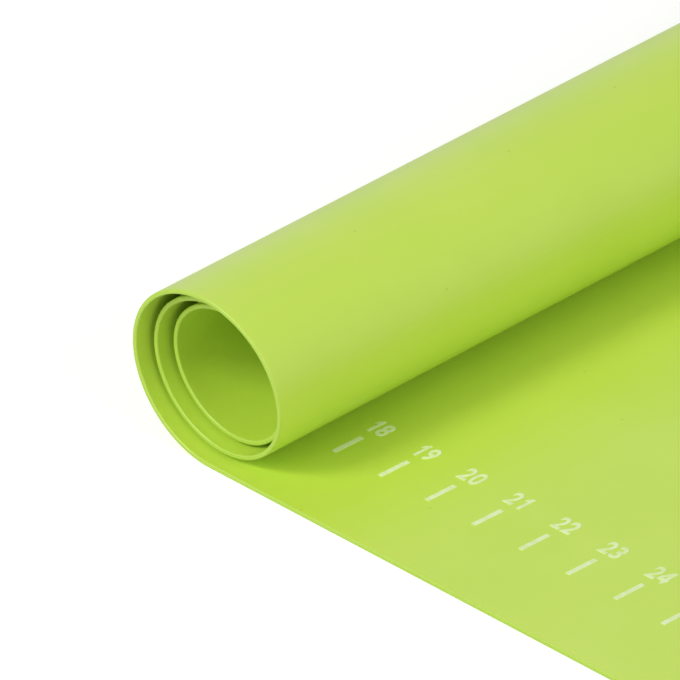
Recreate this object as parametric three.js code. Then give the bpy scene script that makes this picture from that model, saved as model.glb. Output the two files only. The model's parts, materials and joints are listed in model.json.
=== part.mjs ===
// A silicone pastry mat, lying flat with its left end rolled up. Millimetres, +Z up.
// The real mat is one flexible sheet with a printed centimetre scale. Here the rolled end is divided
// into strips, one for each centimetre, which turn on each other along the sheet's underside, so that
// the roll can open until the whole mat lies flat. Each printed mark is a thin bar on its own strip.
import * as THREE from "three";

// The sheet, measured when it lies flat
const MAT_WIDTH = 300;
const SHEET_THICKNESS = 0.8;

// The printed scale along the front edge, with a plain margin beyond each end of it
const SCALE_MARK_COUNT = 30;
const MARK_PITCH = 10;
const MARK_LENGTH = 6;
const MARK_WIDTH = 1;
const MARK_THICKNESS = 0.1;
const MARK_SETBACK = 16;
const ROLLED_MARGIN = 50;
const FLAT_MARGIN = 50;

// The rolled end: the sheet lifts from the table a little past the last of the marks that lie flat. Its
// underside starts with ROLL_RADIUS, winds in with LAYER_GAP between turns that each lie TURN_DROP lower,
// and has sagged into an oval that leans to one side. The roll's axis is a little askew to the marks.
const FLAT_MARK_COUNT = 14;
const LIFT_PAST_MARK = 1;
const ROLL_RADIUS = 15.2;
const LAYER_GAP = 1;
const TURN_DROP = 0.4;
const OVAL_SAG = 2.8;
const OVAL_LEAN = THREE.MathUtils.degToRad(50);
const ROLL_SKEW = THREE.MathUtils.degToRad(1.8);

// The strips of the rolled end: the slit between two of them, the facets on each side of the one that a
// mark lies on, the room round the mark there, and the width of the mat's inner corner
const STRIP_SLIT = 0.3;
const SIDE_FACETS = 3;
const MARK_ROOM = 0.4;
const END_TIP = 5;

// When the roll is open, the strips' hinge lines lie OPEN_RISE above the table, reached over OPEN_RAMP
const OPEN_RISE = 1.5;
const OPEN_RAMP = 20;

const silicone = new THREE.MeshStandardMaterial({ color: "#bddb5a", roughness: 0.5, metalness: 0 });
const ink = new THREE.MeshStandardMaterial({ color: "#f4f6ee", roughness: 0.6, metalness: 0 });

// Places on the flat mat: along the scale from its zero mark, and across from the front edge
const ROLLED_END = -ROLLED_MARGIN;
const FLAT_END = SCALE_MARK_COUNT * MARK_PITCH + FLAT_MARGIN;
const MARK_ROW = MARK_SETBACK + MARK_LENGTH / 2;
const LAST_FLAT_READING = SCALE_MARK_COUNT + 1 - FLAT_MARK_COUNT;
const LIFT_LINE = LAST_FLAT_READING * MARK_PITCH - LIFT_PAST_MARK;

// The roll's axis, and the way towards the rolled end square to it, in the plane of the table
const rollAxis = new THREE.Vector3(-Math.sin(ROLL_SKEW), Math.cos(ROLL_SKEW), 0);
const towardsEnd = new THREE.Vector3(-Math.cos(ROLL_SKEW), -Math.sin(ROLL_SKEW), 0);

// Run of a place on the mat: how far it is past the lift line, square to the roll's axis.
function runAt(along, across) {
  return -(along - LIFT_LINE) * Math.cos(ROLL_SKEW) - (across - MARK_ROW) * Math.sin(ROLL_SKEW);
}

// How far across the mat the line of a given run meets its rolled end.
function acrossRolledEnd(run) {
  return MARK_ROW + (runAt(ROLLED_END, MARK_ROW) - run) / Math.sin(ROLL_SKEW);
}

// The roll's section at a turning angle: the run of the underside so far, and its place in the section,
// from the integral of radius = ROLL_RADIUS - shrink * turn + sag * cos(2 turn - lean) - drop * sin(turn).
function sectionAtTurn(turn) {
  const shrink = (SHEET_THICKNESS + LAYER_GAP) / (2 * Math.PI);
  const drop = TURN_DROP / Math.PI;
  const radius = ROLL_RADIUS - shrink * turn;
  const oval = (angle) => ({
    run: Math.sin(2 * angle - OVAL_LEAN) / 2,
    reach: (Math.sin(3 * angle - OVAL_LEAN) / 3 + Math.sin(angle - OVAL_LEAN)) / 2,
    rise: (Math.cos(angle - OVAL_LEAN) - Math.cos(3 * angle - OVAL_LEAN) / 3) / 2,
  });
  const here = oval(turn);
  const start = oval(0);
  return {
    run:
      ROLL_RADIUS * turn - (shrink * turn * turn) / 2 + OVAL_SAG * (here.run - start.run) -
      drop * (1 - Math.cos(turn)),
    reach:
      radius * Math.sin(turn) + shrink * (1 - Math.cos(turn)) + OVAL_SAG * (here.reach - start.reach) -
      (drop * Math.sin(turn) ** 2) / 2,
    rise:
      ROLL_RADIUS - radius * Math.cos(turn) - shrink * Math.sin(turn) + OVAL_SAG * (here.rise - start.rise) -
      drop * (turn / 2 - Math.sin(2 * turn) / 4),
  };
}

// The turning angle at a run, by halving the span that holds it.
function turnAtRun(run) {
  let low = 0;
  let high = 1;
  while (sectionAtTurn(high).run < run) high += 1;
  for (let halving = 0; halving < 50; halving++) {
    const middle = (low + high) / 2;
    if (sectionAtTurn(middle).run < run) low = middle;
    else high = middle;
  }
  return (low + high) / 2;
}

// Section of the sheet at a run and a height above its underside, as distances towards the end and up.
function sectionAtRun(run, height) {
  if (run <= 0) return new THREE.Vector2(run, height);
  const turn = turnAtRun(run);
  const { reach, rise } = sectionAtTurn(turn);
  return new THREE.Vector2(reach - height * Math.sin(turn), rise + height * Math.cos(turn));
}

// A section point carried along the roll's axis to its place across the mat.
function placeInMat(section, run, across) {
  const alongAxis = run * Math.tan(ROLL_SKEW) + (across - MARK_ROW) / Math.cos(ROLL_SKEW);
  return new THREE.Vector3(LIFT_LINE, MARK_ROW, section.y)
    .addScaledVector(rollAxis, alongAxis)
    .addScaledVector(towardsEnd, section.x);
}

// Runs at even steps between two runs, both ends included.
function evenRuns(from, to, steps) {
  return Array.from({ length: steps + 1 }, (_, i) => THREE.MathUtils.lerp(from, to, i / steps));
}

// A strip is a box with one row of facets, bent so that each station lies on the roll.
function stripGeometry(stations) {
  const facets = stations.length - 1;
  const geometry = new THREE.BoxGeometry(1, 1, 1, facets, 1, 1);
  const position = geometry.getAttribute("position");
  for (let i = 0; i < position.count; i++) {
    const station = facets - Math.round((position.getX(i) + 0.5) * facets);
    const run = stations[station];
    const backEdge = Math.min(MAT_WIDTH, acrossRolledEnd(run));
    const across = position.getY(i) > 0 ? backEdge : 0;
    const height = position.getZ(i) > 0 ? SHEET_THICKNESS : 0;
    const place = placeInMat(sectionAtRun(run, height), run, across);
    position.setXYZ(i, place.x, place.y, place.z);
  }
  return geometry;
}

// A printed mark, a bar that lies on one facet of the sheet, between the two runs of its seat.
function markGeometry(reading, seat) {
  const geometry = new THREE.BoxGeometry(MARK_WIDTH, MARK_LENGTH, MARK_THICKNESS);
  const position = geometry.getAttribute("position");
  for (let i = 0; i < position.count; i++) {
    const across = MARK_ROW + position.getY(i);
    const run = runAt(reading * MARK_PITCH + position.getX(i), across);
    const height = SHEET_THICKNESS + MARK_THICKNESS / 2 + position.getZ(i);
    const share = (run - seat.from) / (seat.to - seat.from);
    const section = sectionAtRun(seat.from, height).lerp(sectionAtRun(seat.to, height), share);
    const place = placeInMat(section, run, across);
    position.setXYZ(i, place.x, place.y, place.z);
  }
  return geometry;
}

// The strips of the rolled end, from the lift line inwards, which meet half way between marks. The last
// one ends at the mat's own end, which crosses the askew strips, so its two sides differ in length.
function rolledStrips() {
  const pad = (number) => String(number).padStart(2, "0");
  const runOfReading = (reading) => runAt(reading * MARK_PITCH, MARK_ROW);
  const shortSide = runAt(ROLLED_END, MAT_WIDTH);
  const strips = [{ name: "lift_strip", from: 0, to: runOfReading(LAST_FLAT_READING - 0.5) }];
  let reading = LAST_FLAT_READING - 1;
  while (runOfReading(reading - 0.5) + STRIP_SLIT < shortSide) {
    const name = reading < 0 ? `margin_strip_${pad(-reading)}` : `strip_${pad(reading)}`;
    strips.push({ name, reading, from: runOfReading(reading + 0.5), to: runOfReading(reading - 0.5) });
    reading -= 1;
  }
  strips.push({
    name: "end_strip",
    from: strips.at(-1).to,
    to: runAt(ROLLED_END, END_TIP),
    corner: shortSide,
  });
  return strips;
}

// The run of a strip's middle, and the facet there, wide enough for a mark.
function seatOf(strip) {
  const middle = (strip.from + strip.to) / 2;
  const half = (MARK_WIDTH + MARK_ROOM) / 2;
  return { from: middle - half, to: middle + half };
}

// The runs at which the facets of a strip meet.
function stationsOf(strip) {
  const from = strip.from + STRIP_SLIT / 2;
  if (strip.corner) {
    const wholeWidth = evenRuns(from, strip.corner, SIDE_FACETS * 2);
    return [...wholeWidth, ...evenRuns(strip.corner, strip.to, SIDE_FACETS * 2).slice(1)];
  }
  const seat = seatOf(strip);
  const before = evenRuns(from, seat.from, SIDE_FACETS);
  return [...before, ...evenRuns(seat.to, strip.to - STRIP_SLIT / 2, SIDE_FACETS)];
}

// The flat part, from the lift line to the mat's square end.
function flatSheet() {
  const seam = -STRIP_SLIT / 2;
  const front = placeInMat(sectionAtRun(seam, 0), seam, 0);
  const back = placeInMat(sectionAtRun(seam, 0), seam, MAT_WIDTH);
  const outline = new THREE.Shape([
    new THREE.Vector2(front.x, front.y),
    new THREE.Vector2(FLAT_END, 0),
    new THREE.Vector2(FLAT_END, MAT_WIDTH),
    new THREE.Vector2(back.x, back.y),
  ]);
  const geometry = new THREE.ExtrudeGeometry(outline, { depth: SHEET_THICKNESS, bevelEnabled: false });
  const mesh = new THREE.Mesh(geometry, silicone);
  mesh.name = "flat_sheet";
  return mesh;
}

// The underside of a strip as an arc: the slope of its chord on the roll, the chord and its sagitta.
function arcOf(strip) {
  const start = sectionAtRun(strip.from, 0);
  const middle = sectionAtRun((strip.from + strip.to) / 2, 0).sub(start);
  const chord = sectionAtRun(strip.to, 0).sub(start);
  const slope = (turnAtRun(strip.from) + turnAtRun(strip.to)) / 2;
  const wrapped = Math.atan2(chord.y, chord.x);
  const turns = Math.round((slope - wrapped) / (2 * Math.PI));
  return {
    slope: wrapped + turns * 2 * Math.PI,
    chord: chord.length(),
    sagitta: Math.abs(chord.cross(middle)) / chord.length(),
  };
}

// Height of the hinge line at a run when the mat is open: it leaves room below for the strips' own curve.
function openHeight(run) {
  return OPEN_RISE * (1 - Math.exp(-run / OPEN_RAMP));
}

// How far each strip turns, away from the roll, to lie level when the mat is open. A strip with more
// curve than there is room for, as at the mat's end, keeps its far side higher instead.
function openStrips(strips) {
  let turned = 0;
  let height = 0;
  for (const strip of strips) {
    const { slope, chord, sagitta } = arcOf(strip);
    const farHeight = Math.max(openHeight(strip.to), 2 * sagitta - height);
    const turn = slope - Math.asin((farHeight - height) / chord);
    strip.opening = turn - turned;
    turned = turn;
    height = farHeight;
  }
}

// One strip of the roll, with the hinge line that it turns on and the angle that lays it flat.
function rolledStrip(strip) {
  const mesh = new THREE.Mesh(stripGeometry(stationsOf(strip)), silicone);
  mesh.name = strip.name;
  mesh.userData.hinge = {
    point: placeInMat(sectionAtRun(strip.from, 0), strip.from, MAT_WIDTH / 2),
    axis: rollAxis.clone().negate(),
    opening: strip.opening,
  };
  return mesh;
}

// One printed mark, on the strip that carries its reading or on the flat part.
function scaleMark(reading, strips) {
  const strip = strips.find((candidate) => candidate.reading === reading);
  const seat = strip ? seatOf(strip) : { from: runAt(FLAT_END, MARK_ROW), to: 0 };
  const mesh = new THREE.Mesh(markGeometry(reading, seat), ink);
  mesh.name = `scale_mark_${String(reading).padStart(2, "0")}`;
  return mesh;
}

const mat = new THREE.Group();
mat.add(flatSheet());

const strips = rolledStrips();
openStrips(strips);
for (const strip of strips) {
  mat.add(rolledStrip(strip));
}

for (let reading = 0; reading <= SCALE_MARK_COUNT; reading++) {
  mat.add(scaleMark(reading, strips));
}

// The origin is the middle of the mat's own box, at the table.
const box = new THREE.Box3().setFromObject(mat, true);
const centre = box.getCenter(new THREE.Vector3());
mat.position.set(-centre.x, -centre.y, -box.min.z);

export default mat;
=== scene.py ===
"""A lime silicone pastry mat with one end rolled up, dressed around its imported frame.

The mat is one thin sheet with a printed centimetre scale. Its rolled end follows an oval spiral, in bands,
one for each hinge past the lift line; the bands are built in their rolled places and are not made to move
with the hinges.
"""

import json
import logging
import math
from collections.abc import Mapping
from dataclasses import dataclass, field
from enum import Enum

import bpy
import numpy as np
from bpy.types import Curve, ID, Material, Mesh, Node, NodeSocket, NodeTree, Object
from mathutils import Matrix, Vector

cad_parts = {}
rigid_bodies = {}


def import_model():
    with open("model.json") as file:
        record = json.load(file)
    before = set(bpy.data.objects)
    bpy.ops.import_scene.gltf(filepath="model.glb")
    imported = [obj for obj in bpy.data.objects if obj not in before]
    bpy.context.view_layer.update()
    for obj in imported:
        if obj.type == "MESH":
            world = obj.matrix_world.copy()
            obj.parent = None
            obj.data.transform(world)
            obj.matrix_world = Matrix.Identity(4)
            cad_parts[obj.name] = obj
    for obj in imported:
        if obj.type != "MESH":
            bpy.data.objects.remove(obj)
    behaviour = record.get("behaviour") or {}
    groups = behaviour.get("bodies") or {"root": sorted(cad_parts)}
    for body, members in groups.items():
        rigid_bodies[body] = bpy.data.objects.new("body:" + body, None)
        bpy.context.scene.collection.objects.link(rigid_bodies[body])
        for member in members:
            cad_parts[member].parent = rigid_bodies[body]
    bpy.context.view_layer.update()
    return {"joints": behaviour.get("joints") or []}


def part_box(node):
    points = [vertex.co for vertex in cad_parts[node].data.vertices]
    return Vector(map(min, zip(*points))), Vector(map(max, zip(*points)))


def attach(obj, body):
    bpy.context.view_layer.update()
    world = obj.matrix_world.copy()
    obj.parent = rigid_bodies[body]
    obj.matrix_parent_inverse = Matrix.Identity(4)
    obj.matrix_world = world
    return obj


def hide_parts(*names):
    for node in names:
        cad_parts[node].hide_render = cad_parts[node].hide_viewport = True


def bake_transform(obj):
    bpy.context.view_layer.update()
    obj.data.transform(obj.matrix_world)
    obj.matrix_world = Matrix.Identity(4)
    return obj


LOG = logging.getLogger("pastry_mat")
MM = 0.001
UV_NAME = "sheet_plan"
RIM_NAME = "rim"
QUAD = 4
UP = np.array([0.0, 0.0, 1.0])

Colour = tuple[float, float, float]
Loop = list[tuple[float, float]]
Drawing = tuple[np.ndarray, np.ndarray, list[list[int]]]


class Slot(Enum):
    """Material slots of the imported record."""

    SHEET = "silicone_sheet"
    INK = "scale_ink"


class CutEnd(Enum):
    """The mat's two cut ends, where a piece of the sheet has no seam."""

    ROLLED = "rolled end"
    FLAT = "flat end"


def linear(red: int, green: int, blue: int) -> Colour:
    """Turns a colour of 0 to 255 steps, as a screen shows it, into linear light.

    Args:
        red: The red step.
        green: The green step.
        blue: The blue step.

    Returns:
        The three linear values.
    """
    full, knee, foot, offset, power = 255, 0.04045, 12.92, 0.055, 2.4

    def curve(step: int) -> float:
        """Gives one step's linear value."""
        share = step / full
        return share / foot if share <= knee else ((share + offset) / (1 + offset)) ** power

    return curve(red), curve(green), curve(blue)


def heading(azimuth: float, elevation: float) -> Vector:
    """Gives the direction at an azimuth, from the front to the right, and an elevation, in degrees."""
    turn, rise = math.radians(azimuth), math.radians(elevation)
    flat = math.cos(rise)
    return Vector((math.sin(turn) * flat, -math.cos(turn) * flat, math.sin(rise)))


def new_object(name: str, data: ID) -> Object:
    """Makes an object and puts it into the scene."""
    thing = bpy.data.objects.new(name, data)
    bpy.context.scene.collection.objects.link(thing)
    return thing


def map_plan(mesh: Mesh, places: np.ndarray) -> np.ndarray:
    """Maps a mesh by its points' places on the plan.

    Args:
        mesh: The mesh.
        places: The place of each point, in metres.

    Returns:
        The point that each corner of the mesh lies on.
    """
    corner_points = np.zeros(len(mesh.loops), np.int32)
    mesh.loops.foreach_get("vertex_index", corner_points)
    plan_map = mesh.uv_layers.new(name=UV_NAME)
    plan_map.uv.foreach_set("vector", places[corner_points].astype(np.float32).ravel())
    return corner_points


@dataclass(frozen=True)
class RollSection:
    """Section of the rolled end, square to its axis: an oval spiral that starts level at the lift line.

    A run is a distance along the sheet's underside past the lift line, and a turn is the angle, in radians,
    that the sheet has wound through there.
    """

    start_radius: float = 15.2 * MM
    thickness: float = 0.8 * MM
    layer_gap: float = 1.0 * MM
    turn_drop: float = 0.4 * MM
    oval_sag: float = 2.8 * MM
    oval_lean: float = math.radians(50)
    most_turn: float = 20.0
    table_size: int = 4001
    table_corrections: int = 3

    @property
    def shrink(self) -> float:
        """How much the radius shrinks for each radian, so that the layers keep their gap."""
        return (self.thickness + self.layer_gap) / (2 * math.pi)

    @property
    def drop(self) -> float:
        """The share of the radius that lets each turn lie lower than the last."""
        return self.turn_drop / math.pi

    def radius(self, turn: np.ndarray) -> np.ndarray:
        """Gives the underside's radius of curvature at a turn."""
        oval = self.oval_sag * np.cos(2 * turn - self.oval_lean)
        return self.start_radius - self.shrink * turn + oval - self.drop * np.sin(turn)

    def at_turn(self, turn: np.ndarray) -> tuple[np.ndarray, np.ndarray, np.ndarray]:
        """Follows the underside to a turn, by the integral of its radius.

        Args:
            turn: The turns to follow it to.

        Returns:
            The run so far, the reach towards the rolled end and the rise above the table.
        """
        lean = self.oval_lean

        def oval(at: np.ndarray | float) -> tuple[np.ndarray, np.ndarray, np.ndarray]:
            """Gives the oval's own part of the run, the reach and the rise."""
            run = np.sin(2 * at - lean) / 2
            reach = (np.sin(3 * at - lean) / 3 + np.sin(at - lean)) / 2
            rise = (np.cos(at - lean) - np.cos(3 * at - lean) / 3) / 2
            return run, reach, rise

        here = oval(turn)
        start = oval(0.0)
        round_radius = self.start_radius - self.shrink * turn
        run = self.start_radius * turn - self.shrink * turn**2 / 2
        run = run + self.oval_sag * (here[0] - start[0]) - self.drop * (1 - np.cos(turn))
        reach = round_radius * np.sin(turn) + self.shrink * (1 - np.cos(turn))
        reach = reach + self.oval_sag * (here[1] - start[1]) - self.drop * np.sin(turn) ** 2 / 2
        rise = self.start_radius - round_radius * np.cos(turn) - self.shrink * np.sin(turn)
        rise = rise + self.oval_sag * (here[2] - start[2]) - self.drop * (turn / 2 - np.sin(2 * turn) / 4)
        return run, reach, rise

    def turn_at(self, run: np.ndarray) -> np.ndarray:
        """Finds the turn at a run, which is nought on the flat part.

        Args:
            run: The runs to look up.

        Returns:
            The turn at each run.
        """
        table = np.linspace(0, self.most_turn, self.table_size)
        turn = np.interp(run, self.at_turn(table)[0], table)
        for _ in range(self.table_corrections):
            turn = turn - (self.at_turn(turn)[0] - run) / self.radius(turn)
        return np.where(np.asarray(run) > 0, turn, 0.0)

    def point(self, run: np.ndarray, height: np.ndarray) -> tuple[np.ndarray, np.ndarray]:
        """Places points of the section.

        Args:
            run: The runs of the points.
            height: Their heights above the sheet's underside.

        Returns:
            Their reach towards the rolled end and their rise above the table.
        """
        turn = self.turn_at(run)
        _, reach, rise = self.at_turn(turn)
        reach = np.where(np.asarray(run) > 0, reach, run)
        return reach - height * np.sin(turn), rise + height * np.cos(turn)


@dataclass(frozen=True)
class MatPlan:
    """The mat's flat plan, and where each of its points lies once the end is rolled up.

    Along is measured with the scale from its zero mark, and across from the front edge. Corner is the place
    of that zero on the front edge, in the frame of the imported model.
    """

    corner: tuple[float, float]
    roll: RollSection = field(default_factory=RollSection)
    width: float = 300 * MM
    scale_length: float = 300 * MM
    margin: float = 50 * MM
    mark_pitch: float = 10 * MM
    mark_row: float = 19 * MM
    lift_line: float = 169 * MM
    skew: float = math.radians(1.8)
    edge_round: float = 0.25 * MM

    @classmethod
    def from_frame(cls) -> "MatPlan":
        """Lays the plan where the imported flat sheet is."""
        low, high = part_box("flat_sheet")
        return cls(corner=(high.x - cls.scale_length - cls.margin, low.y))

    @property
    def rolled_end(self) -> float:
        """Where the rolled end is cut, along the scale."""
        return -self.margin

    @property
    def flat_end(self) -> float:
        """Where the flat end is cut, along the scale."""
        return self.scale_length + self.margin

    @property
    def axis(self) -> np.ndarray:
        """The direction of the roll's axis, away from the front edge."""
        return np.array([-math.sin(self.skew), math.cos(self.skew), 0.0])

    @property
    def towards_end(self) -> np.ndarray:
        """The level direction from the lift line towards the rolled end."""
        return np.array([-math.cos(self.skew), -math.sin(self.skew), 0.0])

    def run_at(self, along: np.ndarray, across: np.ndarray) -> np.ndarray:
        """Gives the run of places on the plan."""
        straight = -(along - self.lift_line) * math.cos(self.skew)
        return straight - (across - self.mark_row) * math.sin(self.skew)

    def along_at(self, run: np.ndarray, across: np.ndarray) -> np.ndarray:
        """Gives how far along the scale places with these runs are."""
        sideways = (across - self.mark_row) * math.sin(self.skew)
        return self.lift_line - (run + sideways) / math.cos(self.skew)

    def place(self, run: np.ndarray, across: np.ndarray, height: np.ndarray) -> np.ndarray:
        """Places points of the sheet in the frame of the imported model.

        Args:
            run: The runs of the points.
            across: How far they are from the front edge, on the plan.
            height: How far they are above the sheet's underside.

        Returns:
            An array of places, with the three coordinates last.
        """
        reach, rise = self.roll.point(run, height)
        on_axis = run * math.tan(self.skew) + (across - self.mark_row) / math.cos(self.skew)
        start = np.array([self.corner[0] + self.lift_line, self.corner[1] + self.mark_row, 0.0])
        level = start + on_axis[..., None] * self.axis + reach[..., None] * self.towards_end
        return level + rise[..., None] * UP

    def directions(self, run: np.ndarray) -> tuple[np.ndarray, np.ndarray, np.ndarray]:
        """Gives the sheet's own directions at these runs.

        Args:
            run: The runs to look at.

        Returns:
            Unit vectors along the scale, across the mat, and out of the printed side.
        """
        turn = self.roll.turn_at(run)[..., None]
        tangent = np.cos(turn) * self.towards_end + np.sin(turn) * UP
        normal = np.cos(turn) * UP - np.sin(turn) * self.towards_end
        along = -math.cos(self.skew) * tangent - math.sin(self.skew) * self.axis
        across = math.cos(self.skew) * self.axis - math.sin(self.skew) * tangent
        return along, across, normal


@dataclass(frozen=True)
class Bend:
    """The two bodies of one hinge, and the places where a band's bend starts and ends."""

    parent: str
    child: str
    start: Vector
    end: Vector

    def apply(self, piece: Object) -> None:
        """Bakes a piece's placement into its mesh; the piece is not made to bend."""
        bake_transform(piece)


@dataclass(frozen=True)
class SiliconeFinish:
    """Satin lime silicone, a little uneven in tone and duller along its cut edges, where a deeper tone is
    painted on as shade.
    """

    name: str = "lime_silicone"
    tone: Colour = linear(194, 223, 73)
    deep_tone: Colour = linear(191, 221, 68)
    # Painted shade: the cut edges take this deeper tone so that they render as dim as the shade they lie
    # in; it is not a colour of the silicone.
    rim_tone: Colour = linear(162, 194, 52)
    speck_tone: Colour = linear(130, 162, 44)
    speck_strength: float = 0.25
    speck_spacing: float = 14 * MM
    speck_radius: float = 0.22 * MM
    speck_share: float = 0.16
    roughness: float = 0.45
    roughness_swing: float = 0.04
    rim_roughness: float = 0.2
    specular: float = 0.7
    coat: float = 0.45
    coat_roughness: float = 0.27
    mottle_size: float = 22 * MM
    grain_size: float = 0.5 * MM
    grain_height: float = 0.012 * MM


@dataclass(frozen=True)
class InkFinish:
    """Matt white print, a little thin in places so that the green shows through."""

    name: str = "white_ink"
    tone: Colour = linear(231, 245, 193)
    thin_tone: Colour = linear(219, 238, 169)
    roughness: float = 0.55
    roughness_swing: float = 0.1
    specular: float = 0.4
    coat: float = 0.0
    coat_roughness: float = 0.2
    mottle_size: float = 1.6 * MM
    grain_size: float = 0.35 * MM
    grain_height: float = 0.015 * MM


class NodeBoard:
    """A node tree under construction."""

    def __init__(self, tree: NodeTree) -> None:
        """Takes the tree and clears it."""
        self.tree = tree
        tree.nodes.clear()

    def add(self, kind: str, settings: dict | None = None, **inputs: object) -> Node:
        """Adds a node.

        Args:
            kind: The node's type.
            settings: Its own properties, by name.
            **inputs: Values or sockets for its inputs, with underscores for spaces.

        Returns:
            The new node.
        """
        node = self.tree.nodes.new(kind)
        for key, value in (settings or {}).items():
            setattr(node, key, value)
        for key, value in inputs.items():
            self.feed(node, key.replace("_", " "), value)
        return node

    def feed(self, node: Node, name: str | int, value: object) -> None:
        """Sets an input of a node to a value, or links it to a socket."""
        socket = node.inputs[name]
        if isinstance(value, NodeSocket):
            self.tree.links.new(value, socket)
        elif isinstance(value, tuple) and len(value) == 3 and socket.type == "RGBA":
            socket.default_value = (*value, 1.0)
        else:
            socket.default_value = value

    def calc(self, operation: str, first: object, second: object) -> NodeSocket:
        """Adds a math node and gives its result."""
        node = self.add("ShaderNodeMath", {"operation": operation})
        self.feed(node, 0, first)
        self.feed(node, 1, second)
        return node.outputs[0]

    def divided(self, place: NodeSocket, size: NodeSocket) -> NodeSocket:
        """Adds the nodes that divide a place by a size, and gives their result."""
        factor = self.calc("DIVIDE", 1.0, size)
        node = self.add("ShaderNodeVectorMath", {"operation": "SCALE"}, Scale=factor)
        self.feed(node, 0, place)
        return node.outputs[0]

    def noise(self, place: NodeSocket, scale: float, detail: float) -> NodeSocket:
        """Adds a noise over the plan and gives its value."""
        flat = {"noise_dimensions": "2D"}
        return self.add("ShaderNodeTexNoise", flat, Vector=place, Scale=scale, Detail=detail).outputs[0]

    def mixed(self, factor: object, first: object, second: object) -> NodeSocket:
        """Adds a colour mix node and gives its result."""
        node = self.add("ShaderNodeMix", {"data_type": "RGBA"})
        colours = [index for index, socket in enumerate(node.inputs) if socket.type == "RGBA"]
        for index, value in zip((0, *colours), (factor, first, second)):
            self.feed(node, index, value)
        return next(socket for socket in node.outputs if socket.type == "RGBA")

    def group(self, tree: NodeTree, **inputs: object) -> Node:
        """Places a group with its own values."""
        return self.add("ShaderNodeGroup", {"node_tree": tree}, **inputs)

    def spread(self, value: object, low: float, high: float) -> NodeSocket:
        """Adds a smooth step from nought at low to one at high, and gives its result."""
        node = self.add("ShaderNodeMapRange", {"clamp": True, "interpolation_type": "SMOOTHSTEP"})
        for name, number in (("Value", value), ("From Min", low), ("From Max", high)):
            self.feed(node, name, number)
        return node.outputs["Result"]


def new_group(
    name: str, inputs: dict[str, str], outputs: dict[str, str]
) -> tuple[NodeBoard, Mapping[str, NodeSocket], Node]:
    """Starts a shader node group.

    Args:
        name: The group's name.
        inputs: Names and socket types of its inputs.
        outputs: Names and socket types of its outputs.

    Returns:
        The board, the sockets of the group's inputs by name, and the node that takes its outputs.
    """
    tree = bpy.data.node_groups.new(name, "ShaderNodeTree")
    board = NodeBoard(tree)
    for side, sockets in (("INPUT", inputs), ("OUTPUT", outputs)):
        for key, kind in sockets.items():
            tree.interface.new_socket(key, in_out=side, socket_type=f"NodeSocket{kind}")
    return board, board.add("NodeGroupInput").outputs, board.add("NodeGroupOutput")


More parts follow.
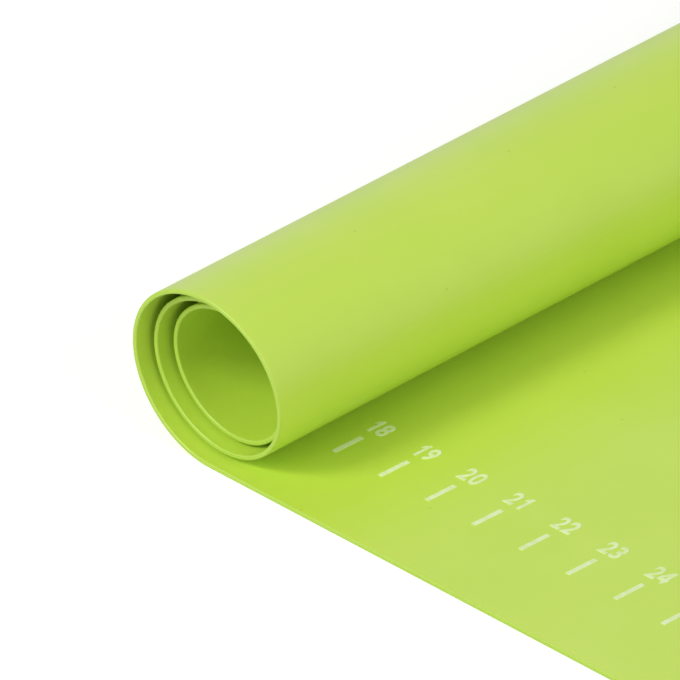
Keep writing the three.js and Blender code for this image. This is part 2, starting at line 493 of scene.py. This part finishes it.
class Finishes:
    """The two materials of the mat, with the shader groups that they share."""

    def __init__(self, silicone: SiliconeFinish, ink: InkFinish) -> None:
        """Builds the groups once, then both materials."""
        self.mottle = self.build_mottle()
        self.grain = self.build_grain()
        self.specks = self.build_specks()
        self.silicone = self.build_silicone(silicone)
        self.ink = self.build_ink(ink)

    @staticmethod
    def build_mottle() -> NodeTree:
        """Builds the group that lets a tone drift over the surface.

        Returns:
            The group.
        """
        board, entry, leave = new_group(
            "Soft mottle",
            {"Place": "Vector", "Size": "Float", "Tone": "Color", "Other Tone": "Color"},
            {"Color": "Color", "Value": "Float"},
        )
        detail, low, high = 4.0, 0.3, 0.7
        noise = board.noise(board.divided(entry["Place"], entry["Size"]), 1.0, detail)
        share = board.spread(noise, low, high)
        board.feed(leave, "Color", board.mixed(share, entry["Tone"], entry["Other Tone"]))
        board.feed(leave, "Value", share)
        return board.tree

    @staticmethod
    def build_grain() -> NodeTree:
        """Builds the group that gives a moulded surface its fine tooth.

        Returns:
            The group.
        """
        board, entry, leave = new_group(
            "Fine grain",
            {"Place": "Vector", "Size": "Float"},
            {"Height": "Float"},
        )
        fine_detail, broad_scale, broad_detail = 3.0, 0.12, 2.0
        place = board.divided(entry["Place"], entry["Size"])
        fine = board.noise(place, 1.0, fine_detail)
        broad = board.noise(place, broad_scale, broad_detail)
        board.feed(leave, "Height", board.calc("ADD", fine, broad))
        return board.tree

    @staticmethod
    def build_specks() -> NodeTree:
        """Builds the group that scatters a few fine specks.

        Returns:
            The group.
        """
        board, entry, leave = new_group(
            "Stray specks",
            {"Place": "Vector", "Spacing": "Float", "Radius": "Float", "Share": "Float"},
            {"Mask": "Float"},
        )
        place = board.divided(entry["Place"], entry["Spacing"])
        cells = board.add("ShaderNodeTexVoronoi", {"voronoi_dimensions": "2D"}, Vector=place, Scale=1.0)
        reach = board.calc("DIVIDE", entry["Radius"], entry["Spacing"])
        near = board.calc("LESS_THAN", cells.outputs["Distance"], reach)
        split = board.add("ShaderNodeSeparateColor")
        board.feed(split, 0, cells.outputs["Color"])
        chosen = board.calc("LESS_THAN", split.outputs[0], entry["Share"])
        board.feed(leave, "Mask", board.calc("MULTIPLY", near, chosen))
        return board.tree

    @staticmethod
    def new_material(name: str) -> NodeBoard:
        """Starts a material.

        Args:
            name: The material's name.

        Returns:
            The board of its node tree.
        """
        material = bpy.data.materials.new(name)
        material.use_nodes = True
        return NodeBoard(material.node_tree)

    def dressed(
        self, board: NodeBoard, finish: SiliconeFinish | InkFinish, colour: NodeSocket,
        unevenness: NodeSocket, place: NodeSocket, rougher: NodeSocket | float = 0.0,
    ) -> None:
        """Wires what both materials share: an uneven satin and a fine tooth.

        Args:
            board: The material's board.
            finish: The finish to give it.
            colour: The surface's colour.
            unevenness: A slow drift from nought to one, for the satin.
            place: Where on the sheet a point is, in metres.
            rougher: What is added to the roughness.
        """
        low = finish.roughness - finish.roughness_swing / 2
        swing = board.calc("MULTIPLY", unevenness, finish.roughness_swing)
        satin = board.calc("ADD", swing, low)
        grain = board.group(self.grain, Place=place, Size=finish.grain_size)
        bump = board.add("ShaderNodeBump", Distance=finish.grain_height, Strength=1.0,
                         Height=grain.outputs["Height"])
        shader = board.add(
            "ShaderNodeBsdfPrincipled",
            Base_Color=colour,
            Roughness=board.calc("ADD", satin, rougher),
            Specular_IOR_Level=finish.specular,
            Coat_Weight=finish.coat,
            Coat_Roughness=finish.coat_roughness,
            Normal=bump.outputs["Normal"],
        )
        board.add("ShaderNodeOutputMaterial", Surface=shader.outputs[0])

    @staticmethod
    def sheet_place(board: NodeBoard) -> NodeSocket:
        """Gives where on the sheet a point is, in metres."""
        return board.add("ShaderNodeUVMap", {"uv_map": UV_NAME}).outputs[0]

    def build_silicone(self, finish: SiliconeFinish) -> Material:
        """Builds the sheet's material.

        Args:
            finish: Its tones and satin.

        Returns:
            The material.
        """
        board = self.new_material(finish.name)
        place = self.sheet_place(board)
        drift = board.group(self.mottle, Place=place, Size=finish.mottle_size, Tone=finish.tone,
                            Other_Tone=finish.deep_tone)
        rim = board.add("ShaderNodeAttribute", {"attribute_name": RIM_NAME}).outputs["Fac"]
        specks = board.group(self.specks, Place=place, Spacing=finish.speck_spacing,
                             Radius=finish.speck_radius, Share=finish.speck_share)
        # Paints the deeper tone on the cut edges as shade, by the rim mask.
        rim_shaded = board.mixed(rim, drift.outputs["Color"], finish.rim_tone)
        speck_share = board.calc("MULTIPLY", specks.outputs["Mask"], finish.speck_strength)
        colour = board.mixed(speck_share, rim_shaded, finish.speck_tone)
        rougher = board.calc("MULTIPLY", rim, finish.rim_roughness)
        self.dressed(board, finish, colour, drift.outputs["Value"], place, rougher)
        return bpy.data.materials[finish.name]

    def build_ink(self, finish: InkFinish) -> Material:
        """Builds the print's material.

        Args:
            finish: Its tones and satin.

        Returns:
            The material.
        """
        board = self.new_material(finish.name)
        place = self.sheet_place(board)
        drift = board.group(self.mottle, Place=place, Size=finish.mottle_size, Tone=finish.tone,
                            Other_Tone=finish.thin_tone)
        self.dressed(board, finish, drift.outputs["Color"], drift.outputs["Value"], place)
        return bpy.data.materials[finish.name]


@dataclass
class Sheet:
    """The silicone sheet: its flat part and the bands of its rolled end."""

    plan: MatPlan
    joints: list[dict]
    material: Material
    band_steps: int = 14
    column_step: float = 8 * MM
    row_step: float = 12 * MM
    edge_steps: int = 4
    tongue_length: float = 0.3 * MM
    tongue_inset: float = 0.02 * MM
    rim_gain: float = 1.6

    def build(self) -> list[Object]:
        """Builds the flat part and every band.

        Returns:
            The pieces, the flat part first.
        """
        flat = self.build_flat()
        bands = [self.build_band(index) for index in range(len(self.bend_joints))]
        return [flat, *bands]

    @property
    def bend_joints(self) -> list[dict]:
        """The hinges that bands bend across: all but the slight one at the lift line."""
        return self.joints[1:]

    def hinge_run(self, index: int) -> float:
        """Gives the run of a band's hinge, half way between two marks."""
        first = math.floor(self.plan.lift_line / self.plan.mark_pitch) + 0.5
        reading = first - index
        return float(self.plan.run_at(reading * self.plan.mark_pitch, self.plan.mark_row))

    def seam_run(self, index: int) -> float:
        """Gives the run where a band starts: the lift line, or half way between two hinges."""
        return (self.hinge_run(index - 1) + self.hinge_run(index)) / 2 if index else 0.0

    def opening(self, index: int) -> float:
        """Gives the angle that a band's hinge opens by."""
        return math.radians(self.bend_joints[index]["range_deg"][1])

    def strip_turn(self, index: int) -> float:
        """Gives the angle that the strip after a band's hinge is curved through."""
        ends = np.array([self.hinge_run(index), self.hinge_run(index + 1)])
        first, last = self.plan.roll.turn_at(ends)
        return float(last - first)

    def bend(self, index: int) -> Bend:
        """Works out how a band follows its two bodies, so that neighbours meet and open flat.

        At a seam, the band before lags its strip and the band after leads it by a quarter of the strip's
        own curve, which lifts the strip's middle by just its sagitta.

        Args:
            index: The band's place in the row of bands.

        Returns:
            The bend.
        """
        plan = self.plan
        joint = self.bend_joints[index]
        quarter = 0.25
        lead = quarter * self.strip_turn(index - 1) / self.opening(index) if index else 0.0
        lag = quarter * self.strip_turn(index) / self.opening(index)
        hinge = self.hinge_run(index)
        next_seam = hinge + (self.hinge_run(index + 1) - hinge) / 2
        runs = np.array([self.seam_run(index), hinge, next_seam])
        heights = np.array([plan.roll.thickness / 2, 0.0, plan.roll.thickness / 2])
        first_seam, root, last_seam = plan.place(runs, np.full_like(runs, plan.width / 2), heights)
        turn = float(plan.roll.turn_at(runs)[1])
        tangent = math.cos(turn) * plan.towards_end + math.sin(turn) * UP
        near, far = ((seam - root) @ tangent for seam in (first_seam, last_seam))
        share_near, share_far = (self.smooth_share(w) for w in (lead, 1 - lag))
        length = (far - near) / (share_far - share_near)
        first = near - share_near * length
        start, end = root + first * tangent, root + (first + length) * tangent
        return Bend(joint["parent"], joint["child"], Vector(start), Vector(end))

    @staticmethod
    def smooth_share(weight: float) -> float:
        """Gives the share of the way at which a smooth step reaches a weight."""
        return 1 / 2 - math.sin(math.asin(1 - 2 * weight) / 3)

    def graded(self, length: float, step: float, ends: tuple[bool, bool]) -> np.ndarray:
        """Divides a length, with fine steps round each cut edge.

        Args:
            length: The length to divide.
            step: The longest step.
            ends: Whether the start and the end are cut edges.

        Returns:
            The places from nought to the length.
        """
        radius = self.plan.edge_round
        angles = np.linspace(0, math.pi / 2, self.edge_steps + 1)
        fine = radius * (1 - np.cos(angles))
        low = fine if ends[0] else np.zeros(1)
        high = length - fine[::-1] if ends[1] else np.array([length])
        count = max(2, math.ceil((high[0] - low[-1]) / step))
        middle = np.linspace(low[-1], high[0], count + 1)
        return np.concatenate([low[:-1], middle, high[1:]])

    def build_flat(self) -> Object:
        """Builds the part of the sheet that lies flat.

        Returns:
            The piece.
        """
        plan = self.plan
        across = self.graded(plan.width, self.column_step, (True, True))
        seam_along = plan.along_at(np.full_like(across, self.seam_run(0)), across)
        rows = self.graded(float(plan.flat_end - seam_along.min()), self.row_step, (False, True))
        share = (rows[-1] - rows) / rows[-1]
        fine = share < share[-self.edge_steps - 1]
        along = plan.flat_end - share[:, None] * (plan.flat_end - seam_along)[None, :]
        along[fine] = plan.flat_end - (share[fine] * rows[-1])[:, None]
        runs = plan.run_at(along, across[None, :])
        piece = self.slab("sheet_flat", runs[::-1], across, (CutEnd.FLAT, None))
        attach(piece, "flat_part")
        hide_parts("flat_sheet")
        return piece

    def build_band(self, index: int) -> Object:
        """Builds one band of the rolled end.

        A tongue inside the piece before keeps the seam between the two shut as the roll opens.

        Args:
            index: The band's place in the row of bands.

        Returns:
            The piece.
        """
        plan = self.plan
        joint = self.bend_joints[index]
        last = index == len(self.bend_joints) - 1
        across = self.graded(plan.width, self.column_step, (True, True))
        start = self.seam_run(index)
        if last:
            cut = plan.run_at(np.full_like(across, plan.rolled_end), across)
            length = float(cut.max() - start)
            steps = self.graded(length, plan.mark_pitch / self.band_steps, (False, True))
            share = steps / steps[-1]
            runs = start + share[:, None] * (cut - start)[None, :]
            fine = share > share[-self.edge_steps - 2]
            runs[fine] = cut[None, :] - (steps[-1] - steps[fine])[:, None]
        else:
            end = self.seam_run(index + 1)
            runs = np.repeat(np.linspace(start, end, self.band_steps + 1)[:, None], len(across), axis=1)
        name = f"band_{joint['child']}"
        tongue = np.repeat([[start - self.tongue_length], [start]], len(across), axis=1)
        ends = None, CutEnd.ROLLED if last else None
        piece = self.slab(name, np.concatenate([tongue, runs]), across, ends, len(tongue))
        self.bend(index).apply(piece)
        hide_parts(joint["child"])
        if index == 0:
            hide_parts(joint["parent"])
        return piece

    def slab(
        self, name: str, runs: np.ndarray, across: np.ndarray, ends: tuple[CutEnd | None, CutEnd | None],
        tongue_rows: int = 0,
    ) -> Object:
        """Builds a closed piece of the sheet with rounded cut edges.

        Args:
            name: The piece's name.
            runs: The run of each point, in rows away from the flat end.
            across: How far each column is from the front edge.
            ends: The cut ends that the first and the last row lie on, if any.
            tongue_rows: How many of the first rows lie just inside the piece before.

        Returns:
            The piece, with its material.
        """
        plan = self.plan
        rows, columns = runs.shape
        sunk = np.where(np.arange(rows) < tongue_rows, self.tongue_inset, 0.0)[:, None]
        wide = sunk + across[None, :] * (1 - 2 * sunk / plan.width)
        along = plan.along_at(runs, wide)
        lengthways, sideways, normal = plan.directions(runs)
        distance = np.stack([wide, plan.width - wide, along - plan.rolled_end, plan.flat_end - along])
        outward = np.stack([-sideways, sideways, -lengthways, lengthways])
        nearest = distance.argmin(axis=0)
        depth = np.clip(np.take_along_axis(distance, nearest[None], 0)[0], 0, None)
        facing = np.take_along_axis(outward, nearest[None, ..., None], 0)[0]
        radius = plan.edge_round
        lean = np.clip(1 - depth / radius, 0, 1)
        round_off = radius * (1 - np.sqrt(1 - lean**2)) + sunk
        layers, normals = [], []
        for side, height in ((1, plan.roll.thickness - round_off), (-1, round_off)):
            layers.append(plan.place(runs, wide, height).reshape(-1, 3))
            tilted = side * normal * np.sqrt(1 - lean**2)[..., None] + facing * lean[..., None]
            normals.append(tilted.reshape(-1, 3))
        rim = np.clip(self.rim_gain * lean, 0, 1).ravel()
        plan_places = np.stack([along - plan.rolled_end, wide], axis=-1).reshape(-1, 2)
        return self.closed_mesh(name, (rows, columns), layers, normals, rim, plan_places, ends)

    def closed_mesh(
        self, name: str, shape: tuple[int, int], layers: list[np.ndarray], normals: list[np.ndarray],
        rim: np.ndarray, plan_places: np.ndarray, ends: tuple[CutEnd | None, CutEnd | None],
    ) -> Object:
        """Joins a printed side and an underside into one closed mesh.

        Args:
            name: The piece's name.
            shape: The number of rows and columns.
            layers: The places of both sides.
            normals: Their surface directions.
            rim: How near each point is to a cut edge, from nought to one.
            plan_places: Where each point is on the plan, in metres.
            ends: The cut ends that the first and the last row lie on, if any.

        Returns:
            The piece, with its material.
        """
        rows, columns = shape
        count = rows * columns
        index = np.arange(count).reshape(shape)

        def strip(first: np.ndarray, second: np.ndarray) -> np.ndarray:
            """Makes a row of faces between two rows of points."""
            return np.stack([first[:-1], first[1:], second[1:], second[:-1]], axis=-1)

        top = np.concatenate([strip(index[i], index[i + 1]) for i in range(rows - 1)])
        under = top[:, ::-1] + count
        front = strip(index[:, 0], index[:, 0] + count)
        back = strip(index[:, -1], index[:, -1] + count)[:, ::-1]
        first = strip(index[0], index[0] + count)[:, ::-1]
        last = strip(index[-1], index[-1] + count)
        faces = np.concatenate([top, under, front, back, first, last])
        mesh = bpy.data.meshes.new(name)
        mesh.from_pydata(np.concatenate(layers).tolist(), [], faces.tolist())
        mesh.polygons.foreach_set("use_smooth", np.ones(len(faces), bool))
        corner_points = map_plan(mesh, np.tile(plan_places, (2, 1)))
        corner_normals = np.concatenate(normals)[corner_points].reshape(-1, QUAD, 3)
        begin = len(faces) - len(first) - len(last)
        for wall, end in zip((first, last), ends):
            if end is None:
                for face in range(begin, begin + len(wall)):
                    corner_normals[face] = mesh.polygons[face].normal
            begin += len(wall)
        values = mesh.attributes.new(RIM_NAME, "FLOAT", "POINT")
        values.data.foreach_set("value", np.tile(rim, 2).astype(np.float32))
        mesh.normals_split_custom_set(corner_normals.reshape(-1, 3).tolist())
        mesh.materials.append(self.material)
        piece = new_object(name, mesh)
        LOG.info("%s: %d faces", name, len(faces))
        return piece


@dataclass
class ScalePrint:
    """The printed scale: a mark at each centimetre, with its number beside it."""

    plan: MatPlan
    sheet: Sheet
    material: Material
    mark_length: float = 6 * MM
    mark_width: float = 0.92 * MM
    mark_corner: float = 0.12 * MM
    corner_steps: int = 3
    number_row: float = 25.85 * MM
    number_height: float = 3.7 * MM
    digit_pitch: float = 2.12 * MM
    digit_width: float = 1.9 * MM
    ink_rise: float = 0.05 * MM
    ink_root: float = 0.1 * MM
    font_size: tuple[float, float] = (0.44, 0.7)
    font_stem: float = 0.12
    font_depth: float = 0.1
    boldness: float = 0.022
    drawn_digits: str = "14"
    first_flat: int = 17

    def build(self) -> list[Object]:
        """Builds every mark and number.

        Returns:
            The pieces.
        """
        pieces = []
        readings = round(self.plan.scale_length / self.plan.mark_pitch)
        for reading in range(readings + 1):
            pieces.append(self.build_mark(reading))
            pieces.extend(self.build_number(reading))
        return pieces

    def follow(self, piece: Object, reading: int, inner: bool = False) -> None:
        """Attaches a printed piece on the flat part to that part's body; a piece on the roll only has its
        placement baked into its mesh.

        Args:
            piece: The piece.
            reading: The mark that it belongs to.
            inner: Whether it lies on the rolled side of that mark.
        """
        if reading >= self.first_flat:
            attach(piece, "flat_part")
        else:
            self.sheet.bend(self.first_flat - 1 - reading + int(inner)).apply(piece)

    def build_mark(self, reading: int) -> Object:
        """Builds one mark of the scale.

        Args:
            reading: The centimetre that it stands for.

        Returns:
            The piece.
        """
        half = np.array([self.mark_width, self.mark_length]) / 2
        corner = self.mark_corner
        angles = np.linspace(0, math.pi / 2, self.corner_steps + 1)
        outline = []
        for quarter, (right, up) in enumerate(((1, 1), (-1, 1), (-1, -1), (1, -1))):
            middle = (half - corner) * np.array([right, up])
            for angle in angles + quarter * math.pi / 2:
                outline.append(middle + corner * np.array([math.cos(angle), math.sin(angle)]))
        flat = np.array(outline)
        count = len(flat)
        ring = list(range(count))
        faces = [ring, [count + i for i in reversed(ring)]]
        faces += [[i, count + i, count + (i + 1) % count, (i + 1) % count] for i in ring]
        upper = np.repeat([True, False], count)
        centre = np.array([reading * self.plan.mark_pitch, self.plan.mark_row])
        piece = self.ink_piece(f"mark_{reading:02d}", np.tile(flat, (2, 1)) + centre, upper, faces)
        self.follow(piece, reading)
        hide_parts(f"scale_mark_{reading:02d}")
        return piece

    def build_number(self, reading: int) -> list[Object]:
        """Builds a mark's number, digit by digit where it lies on the roll.

        Args:
            reading: The number to print.

        Returns:
            One piece for a number on the flat part, or one for each of its digits.
        """
        digits = str(reading)
        middle = reading * self.plan.mark_pitch
        starts = [(i - (len(digits) - 1) / 2) * self.digit_pitch for i in range(len(digits))]
        drawn = []
        for digit, start in zip(digits, starts):
            flat, upper, faces = self.digit_shape(digit)
            drawn.append((flat + np.array([middle + start, self.number_row]), upper, faces))
        if reading >= self.first_flat:
            return [self.number_piece(f"number_{reading:02d}", drawn, reading)]
        pieces = []
        for i, one in enumerate(drawn):
            name = f"number_{reading:02d}" + (f"_{i + 1}" if len(drawn) > 1 else "")
            pieces.append(self.number_piece(name, [one], reading, inner=len(drawn) > 1 and i == 0))
        return pieces

    def number_piece(
        self, name: str, drawn: list[Drawing], reading: int, inner: bool = False
    ) -> Object:
        """Joins drawn digits into one piece of print.

        Args:
            name: The piece's name.
            drawn: Each digit's points on the plan, which of them are on top, and its faces.
            reading: The mark that it belongs to.
            inner: Whether it lies on the rolled side of that mark.

        Returns:
            The piece.
        """
        flat = np.concatenate([points for points, _, _ in drawn])
        upper = np.concatenate([top for _, top, _ in drawn])
        faces, offset = [], 0
        for points, _, own in drawn:
            faces += [[offset + i for i in face] for face in own]
            offset += len(points)
        piece = self.ink_piece(name, flat, upper, faces)
        self.follow(piece, reading, inner)
        return piece

    def digit_shape(self, digit: str) -> Drawing:
        """Draws one bold upright digit about its own middle.

        Args:
            digit: The character.

        Returns:
            Its points, which of them are on top, and its faces.
        """
        curve = self.drawn_curve(digit) if digit in self.drawn_digits else self.font_curve(digit)
        curve.extrude = self.font_depth
        holder = new_object("digit", curve)
        bpy.context.view_layer.update()
        mesh = bpy.data.meshes.new_from_object(holder.evaluated_get(bpy.context.evaluated_depsgraph_get()))
        points = np.array([vertex.co for vertex in mesh.vertices])
        faces = [list(polygon.vertices) for polygon in mesh.polygons]
        bpy.data.objects.remove(holder)
        bpy.data.curves.remove(curve)
        bpy.data.meshes.remove(mesh)
        flat = points[:, :2]
        low, high = flat.min(axis=0), flat.max(axis=0)
        full = np.array(self.font_size) + 2 * self.boldness
        scale = np.array([self.digit_width, self.number_height]) / full
        return (flat - (low + high) / 2) * scale, points[:, 2] > 0, faces

    def font_curve(self, digit: str) -> Curve:
        """Takes a digit's outline from the plain built-in font, made bolder."""
        curve = bpy.data.curves.new("digit", "FONT")
        curve.body = digit
        curve.offset = self.boldness
        return curve

    def drawn_curve(self, digit: str) -> Curve:
        """Draws the digit one with a flag, or four with an open middle.

        Args:
            digit: The character.

        Returns:
            Its outline as a filled curve.
        """
        stem = self.font_stem + self.boldness
        top = self.font_size[1] + 2 * self.boldness
        loops = self.one_outline(stem, top) if digit == "1" else self.four_outline(stem, top)
        curve = bpy.data.curves.new("digit", "CURVE")
        curve.dimensions = "2D"
        curve.fill_mode = "BOTH"
        for loop in loops:
            spline = curve.splines.new("POLY")
            spline.points.add(len(loop) - 1)
            for point, (x, y) in zip(spline.points, loop):
                point.co = (x, y, 0, 1)
            spline.use_cyclic_u = True
        return curve

    @staticmethod
    def one_outline(stem: float, top: float) -> list[Loop]:
        """Draws a one with a flag, for a width of its stem and a height."""
        flag, crown, high, low = -0.27, -0.7 * stem, 0.76 * top, 0.62 * top
        return [[(0, 0), (0, top), (crown, top), (flag, high), (flag, low), (-stem, high), (-stem, 0)]]

    @staticmethod
    def four_outline(stem: float, top: float) -> list[Loop]:
        """Draws a four round its open middle, for a width of its stem and a height."""
        bar, side, foot, ease = 0.15, 0.29, 0.07, 0.01
        slant, peak = bar + 1.1 * stem, top - 1.5 * stem
        right, sill, floor = side + stem, bar + stem, bar + stem + ease
        outside = [(side, 0), (right, 0), (right, bar + ease), (right + foot, bar + ease),
                   (right + foot, sill), (right, sill), (right, top), (side, top), (0, slant), (0, bar),
                   (side, bar)]
        return [outside, [(stem, floor), (side - ease, floor), (side - ease, peak)]]

    def ink_piece(
        self, name: str, flat: np.ndarray, upper: np.ndarray, faces: list[list[int]]
    ) -> Object:
        """Lays a thin film of ink on the sheet.

        Args:
            name: The piece's name.
            flat: Its points on the plan, along and across.
            upper: Which of them are on top of the film.
            faces: Its faces.

        Returns:
            The piece, with its material.
        """
        plan = self.plan
        surface = plan.roll.thickness
        height = np.where(upper, surface + self.ink_rise, surface - self.ink_root)
        places = plan.place(plan.run_at(flat[:, 0], flat[:, 1]), flat[:, 1], height)
        mesh = bpy.data.meshes.new(name)
        mesh.from_pydata(places.tolist(), [], faces)
        map_plan(mesh, flat - np.array([plan.rolled_end, 0.0]))
        mesh.materials.append(self.material)
        piece = new_object(name, mesh)
        LOG.info("%s: %d faces", name, len(faces))
        return piece


@dataclass(frozen=True)
class Viewpoint:
    """The camera: a long lens that looks down on the rolled corner from the front right."""

    azimuth: float = 45.776
    elevation: float = 30.952
    distance: float = 2600 * MM
    image_size: int = 680
    pixels_per_metre: float = 6685.2
    target_reading: float = 200 * MM
    target_pixel: tuple[float, float] = (350.17, 542.99)
    sensor: float = 36.0
    clip: tuple[float, float] = (0.1, 30.0)

    def place(self, plan: MatPlan) -> None:
        """Sets up the scene's camera so that the front edge under mark 20 falls on its pixel.

        Args:
            plan: The mat's plan.
        """
        ahead = -heading(self.azimuth, self.elevation)
        right = -heading(self.azimuth - 90, 0)
        up = right.cross(ahead)
        target = Vector((plan.corner[0] + self.target_reading, plan.corner[1], 0.0))
        focal = self.pixels_per_metre * self.distance
        middle = self.image_size / 2
        across, down = self.target_pixel
        sight = ahead * focal + right * (middle - across) + up * (down - middle)
        data = bpy.data.cameras.new("camera")
        data.sensor_width = self.sensor
        data.lens = focal * self.sensor / self.image_size
        data.clip_start, data.clip_end = self.clip
        camera = new_object("camera", data)
        camera.location = target - ahead * self.distance
        camera.rotation_mode = "QUATERNION"
        camera.rotation_quaternion = sight.to_track_quat("-Z", "Y")
        bpy.context.scene.camera = camera


@dataclass(frozen=True)
class Softbox:
    """A round softbox that faces the mat. Its share is what it adds to a white surface that faces it."""

    name: str
    azimuth: float
    elevation: float
    share: float
    size: float
    distance: float = 2.2

    def build(self) -> None:
        """Hangs the softbox, out of the camera's sight."""
        towards = heading(self.azimuth, self.elevation)
        data = bpy.data.lights.new(self.name, "AREA")
        data.shape = "DISK"
        data.size = self.size
        data.energy = self.share * (math.pi * self.distance) ** 2
        lamp = new_object(self.name, data)
        lamp.location = towards * self.distance
        lamp.rotation_mode = "QUATERNION"
        lamp.rotation_quaternion = towards.to_track_quat("Z", "Y")
        lamp.visible_camera = False
        LOG.info("%s: %.1f W", self.name, data.energy)


@dataclass(frozen=True)
class Studio:
    """A white floor between three softboxes, in an even white surround."""

    softboxes: tuple[Softbox, ...] = (
        Softbox("softbox_key", azimuth=-20, elevation=40, share=0.4, size=0.65),
        Softbox("softbox_front", azimuth=0, elevation=30, share=0.455, size=1.4),
        Softbox("softbox_right", azimuth=90, elevation=30, share=0.385, size=1.3),
    )
    floor_size: float = 12.0
    floor_drop: float = 0.03 * MM
    floor_tone: float = 0.9
    floor_lift: float = 0.35
    floor_near: float = 0.4
    floor_far: float = 1.6
    surround: float = 0.18

    def build(self) -> None:
        """Builds the floor, the softboxes and the surround."""
        self.build_floor()
        for softbox in self.softboxes:
            softbox.build()
        self.build_surround()
        bpy.context.scene.view_settings.view_transform = "Standard"

    def build_floor(self) -> None:
        """Lays the floor, which looks white to the camera, and takes the mat's shadow near it."""
        half = self.floor_size / 2
        corners = [(-half, -half), (half, -half), (half, half), (-half, half)]
        mesh = bpy.data.meshes.new("floor")
        mesh.from_pydata([(x, y, -self.floor_drop) for x, y in corners], [], [(0, 1, 2, 3)])
        board = Finishes.new_material("white_floor")
        shade = board.add("ShaderNodeBsdfDiffuse", Color=(self.floor_tone,) * 3)
        path = board.add("ShaderNodeLightPath")
        reach = board.add("ShaderNodeVectorMath", {"operation": "LENGTH"})
        board.feed(reach, 0, board.add("ShaderNodeNewGeometry").outputs["Position"])
        away = board.spread(reach.outputs["Value"], self.floor_near, self.floor_far)
        lift = board.calc("ADD", self.floor_lift, board.calc("MULTIPLY", away, 1.0 - self.floor_lift))
        lift = board.calc("MULTIPLY", path.outputs["Is Camera Ray"], lift)
        glow = board.add("ShaderNodeEmission", Color=(1.0, 1.0, 1.0), Strength=lift)
        both = board.add("ShaderNodeAddShader")
        board.feed(both, 0, shade.outputs[0])
        board.feed(both, 1, glow.outputs[0])
        board.add("ShaderNodeOutputMaterial", Surface=both.outputs[0])
        mesh.materials.append(bpy.data.materials["white_floor"])
        floor = new_object("floor", mesh)

    def build_surround(self) -> None:
        """Makes the surround white to the camera and in reflections, and dimmer as a light."""
        world = bpy.data.worlds.new("surround")
        world.use_nodes = True
        board = NodeBoard(world.node_tree)
        path = board.add("ShaderNodeLightPath")
        seen = board.calc("MAXIMUM", path.outputs["Is Camera Ray"], path.outputs["Is Glossy Ray"])
        seen = board.calc("MAXIMUM", seen, path.outputs["Is Transmission Ray"])
        rest = board.calc("MULTIPLY", seen, 1.0 - self.surround)
        strength = board.calc("ADD", rest, self.surround)
        light = board.add("ShaderNodeBackground", Color=(1.0, 1.0, 1.0), Strength=strength)
        board.add("ShaderNodeOutputWorld", Surface=light.outputs[0])
        bpy.context.scene.world = world


def clear_scene() -> None:
    """Removes what a new file brings along."""
    for thing in list(bpy.data.objects):
        bpy.data.objects.remove(thing)


def main() -> None:
    """Builds the mat, its print, the studio and the camera."""
    logging.basicConfig(level=logging.INFO, format="%(message)s")
    clear_scene()
    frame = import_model()
    plan = MatPlan.from_frame()
    Viewpoint().place(plan)
    Studio().build()
    finishes = Finishes(SiliconeFinish(), InkFinish())
    sheet = Sheet(plan, frame["joints"], finishes.silicone)
    pieces = sheet.build()
    pieces += ScalePrint(plan, sheet, finishes.ink).build()
    LOG.info("pieces: %d", len(pieces))


if __name__ == "__main__":
    main()
